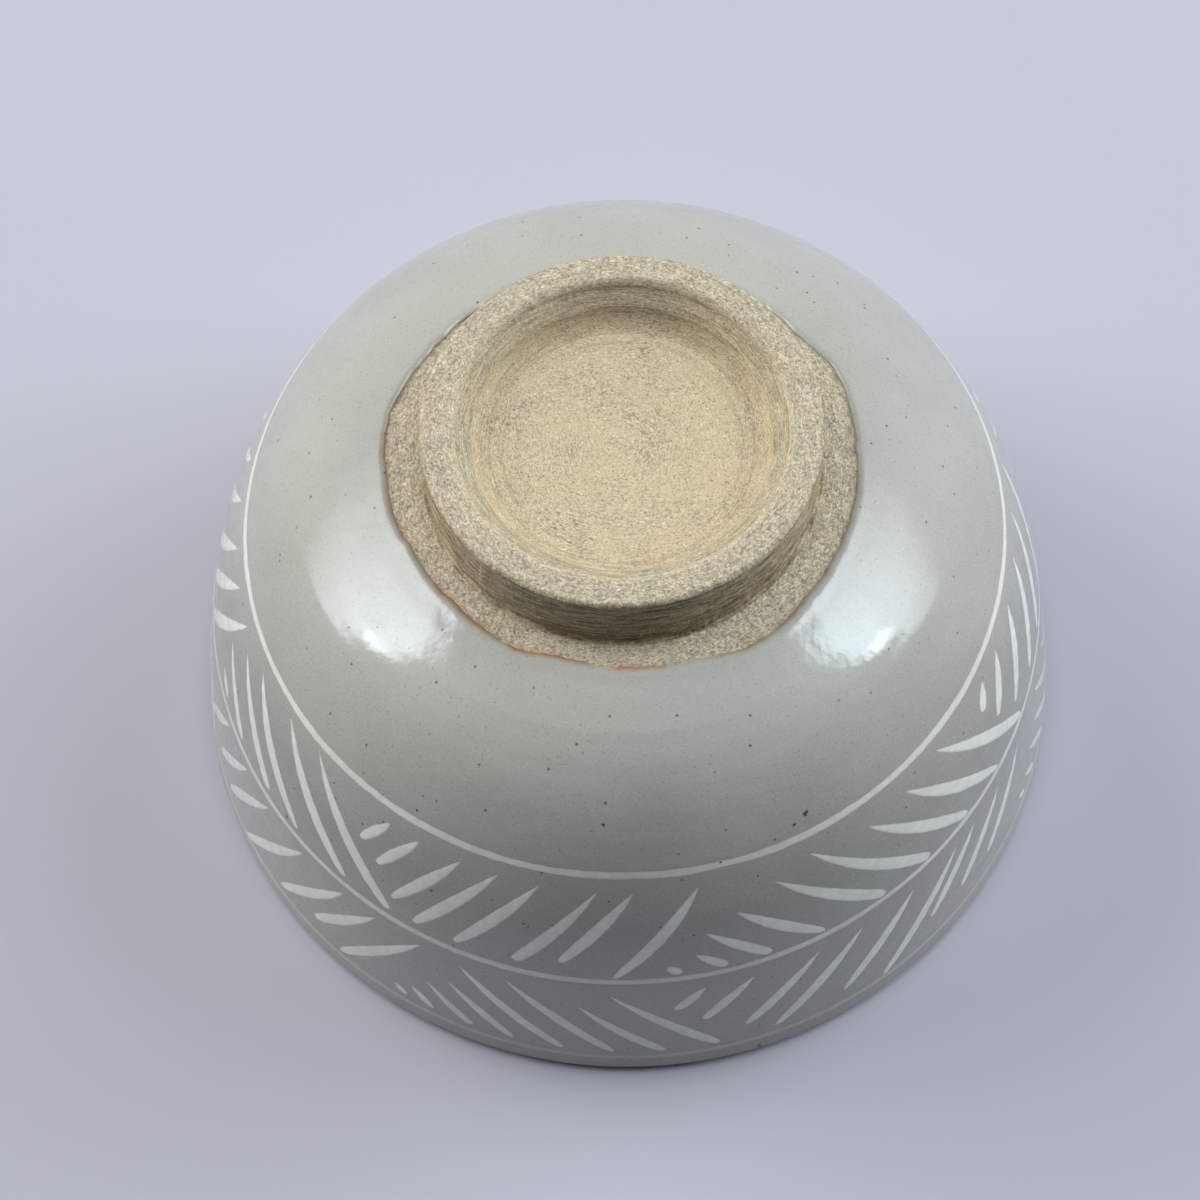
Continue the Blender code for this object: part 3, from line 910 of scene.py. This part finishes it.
class TEABOWL_OT_stage(bpy.types.Operator):
    """Set the camera, the floor and the light"""

    bl_idname = "tea_bowl.stage"
    bl_label = "Stage"

    def execute(self, context):
        stage = context.scene.tea_bowl.stage
        self.add_camera(context, stage)
        self.add_floor(stage)
        self.add_world(context, stage)
        warm = (1.0, 0.985, 0.95)
        cool = (0.94, 0.98, 1.0)
        # Name, turn and rise in degrees, distance and size in metres, power, tint
        diffuse_lights = (
            ("skylight", 0.0, 88.0, 1.0, (0.50, 0.50), stage.skylight_power, cool),
            ("side_left", -116.0, 42.0, 0.9, (0.90, 0.60), stage.side_power, warm),
            ("side_right", 111.0, 42.0, 0.9, (0.90, 0.60), stage.side_power, cool),
            ("window_left", -110.0, 12.0, 1.6, (1.10, 0.60), stage.window_power, warm),
            ("window_right", 107.0, 12.0, 1.6, (1.10, 0.60), stage.window_power, cool),
        )
        for light in diffuse_lights:
            self.add_light(*light).visible_glossy = False
        # Name, turn in degrees, tint, growth of strength across the face, place of the bright spot
        softboxes = (
            ("softbox_left", -118.0, warm, (2.07, 1.73), (0.40, 0.09)),
            ("softbox_right", 112.0, cool, (-2.07, 1.73), (-0.40, 0.05)),
        )
        for name, turn, tint, brighter, spot in softboxes:
            item = self.add_light(name, turn, 40.0, 1.0, (1.14, 1.14), stage.softbox_power, tint)
            item.visible_diffuse = False
            self.shade_light(item.data, brighter, spot)
        return {"FINISHED"}

    def add_camera(self, context, stage):
        camera = bpy.data.cameras.new("camera")
        camera.lens = stage.lens
        item = add_object("camera", camera)
        look = Matrix.Rotation(stage.camera_pan, 4, "Z")
        look = look @ Matrix.Rotation(math.pi / 2.0 - stage.camera_down, 4, "X")
        look = look @ Matrix.Rotation(stage.camera_roll, 4, "Z")
        item.matrix_world = Matrix.Translation(stage.camera_place) @ look
        context.scene.camera = item

    def add_floor(self, stage):
        half = stage.floor_size / 2.0
        mesh = bpy.data.meshes.new("floor")
        corners = [(x * half, y * half, 0.0) for x, y in ((-1, -1), (1, -1), (1, 1), (-1, 1))]
        mesh.from_pydata(corners, [], [range(4)])
        mesh.materials.append(floor_material(stage.floor, stage.floor_size))
        item = add_object("floor", mesh)

    def add_world(self, context, stage):
        world = bpy.data.worlds.new("studio")
        world.use_nodes = True
        context.scene.world = world
        nodes = world.node_tree.nodes
        links = world.node_tree.links
        seen = nodes.new("ShaderNodeBackground")
        seen.inputs["Color"].default_value = (*stage.sky, 1.0)
        lit = nodes["Background"]
        lit.inputs["Color"].default_value = (1.0, 1.0, 1.0, 1.0)
        lit.inputs["Strength"].default_value = stage.fill
        path = nodes.new("ShaderNodeLightPath")
        either = nodes.new("ShaderNodeMixShader")
        plain = path.outputs["Is Camera Ray"]
        for ray in ("Is Glossy Ray", "Is Transmission Ray"):
            larger = nodes.new("ShaderNodeMath")
            larger.operation = "MAXIMUM"
            links.new(plain, larger.inputs[0])
            links.new(path.outputs[ray], larger.inputs[1])
            plain = larger.outputs["Value"]
        links.new(plain, either.inputs[0])
        links.new(lit.outputs[0], either.inputs[1])
        links.new(seen.outputs[0], either.inputs[2])
        links.new(either.outputs[0], nodes["World Output"].inputs["Surface"])

    def add_light(self, name, turn, rise, distance, size, power, tint):
        light = bpy.data.lights.new(name, "AREA")
        light.shape = "ELLIPSE"
        light.size, light.size_y = size
        light.energy = power
        light.color = tint
        item = add_object(name, light)
        turn = math.radians(turn)
        rise = math.radians(rise)
        item.matrix_world = (Matrix.Rotation(turn, 4, "Z") @ Matrix.Rotation(math.pi / 2.0 - rise, 4, "X")
                             @ Matrix.Translation((0.0, 0.0, distance)))
        return item

    def shade_light(self, light, brighter, spot):
        """Lets a light grow stronger across its face in a direction, with a bright spot and a soft border."""
        light.use_nodes = True
        nodes = light.node_tree.nodes
        links = light.node_tree.links

        def reckon(kind, operation, first, second):
            item = nodes.new("ShaderNode" + kind)
            item.operation = operation
            for socket, value in zip(item.inputs, (first, second)):
                if isinstance(value, bpy.types.NodeSocket):
                    links.new(value, socket)
                else:
                    socket.default_value = value
            return next(output for output in item.outputs if output.enabled)

        def fade(value, dark, full):
            item = nodes.new("ShaderNodeMapRange")
            item.interpolation_type = "SMOOTHSTEP"
            item.inputs["From Min"].default_value = dark
            item.inputs["From Max"].default_value = full
            links.new(value, item.inputs["Value"])
            return item.outputs["Result"]

        least = 0.17
        spot_edge, spot_core = 0.10, 0.02
        border_edge, border_inner = 0.50, 0.40
        pale_blue = (0.78, 0.90, 1.0, 1.0)
        place = nodes.new("ShaderNodeNewGeometry").outputs["Parametric"]
        centred = reckon("VectorMath", "SUBTRACT", place, (0.5, 0.5, 0.0))
        across = reckon("VectorMath", "DOT_PRODUCT", centred, (*brighter, 0.0))
        lit = reckon("Math", "MAXIMUM", reckon("Math", "ADD", across, least), 0.0)
        from_spot = reckon("VectorMath", "DISTANCE", centred, (*spot, 0.0))
        from_centre = reckon("VectorMath", "DISTANCE", centred, (0.0, 0.0, 0.0))
        bright = fade(from_spot, spot_edge, spot_core)
        border = fade(from_centre, border_edge, border_inner)
        total = reckon("Math", "MULTIPLY", reckon("Math", "ADD", lit, bright), border)
        links.new(total, nodes["Emission"].inputs["Strength"])
        tint = nodes.new("ShaderNodeMix")
        tint.data_type = "RGBA"
        tint.inputs[6].default_value = (1.0, 1.0, 1.0, 1.0)
        tint.inputs[7].default_value = pale_blue
        links.new(lit, tint.inputs[0])
        links.new(tint.outputs[2], nodes["Emission"].inputs["Color"])


# Panel and registration

class TEABOWL_PT_panel(bpy.types.Panel):
    """Settings and steps of the tea bowl"""

    bl_idname = "TEABOWL_PT_panel"
    bl_label = "Tea Bowl"
    bl_space_type = "VIEW_3D"
    bl_region_type = "UI"
    bl_category = "Tea Bowl"

    def draw(self, context):
        settings = context.scene.tea_bowl
        for group in (settings.shape, settings.glaze, settings.clay, settings.slip, settings.stage):
            column = self.layout.column(align=True)
            for key in group.__annotations__:
                column.prop(group, key)
        for operator in OPERATORS:
            self.layout.operator(operator.bl_idname)


OPERATORS = (
    TEABOWL_OT_clay,
    TEABOWL_OT_outer_glaze,
    TEABOWL_OT_inner_glaze,
    TEABOWL_OT_lines,
    TEABOWL_OT_strokes,
    TEABOWL_OT_specks,
    TEABOWL_OT_stage,
)
CLASSES = (BowlShape, GlazeLook, ClayLook, SlipPattern, StageSet, TeaBowl, *OPERATORS, TEABOWL_PT_panel)


def register():
    for item in CLASSES:
        bpy.utils.register_class(item)
    bpy.types.Scene.tea_bowl = PointerProperty(type=TeaBowl)


def unregister():
    del bpy.types.Scene.tea_bowl
    for item in reversed(CLASSES):
        bpy.utils.unregister_class(item)


def main():
    register()
    bpy.context.scene.view_settings.view_transform = "Standard"
    bpy.ops.tea_bowl.clay()
    bpy.ops.tea_bowl.outer_glaze()
    bpy.ops.tea_bowl.inner_glaze()
    bpy.ops.tea_bowl.lines()
    bpy.ops.tea_bowl.strokes()
    bpy.ops.tea_bowl.specks()
    bpy.ops.tea_bowl.stage()


if __name__ == "__main__":
    main()
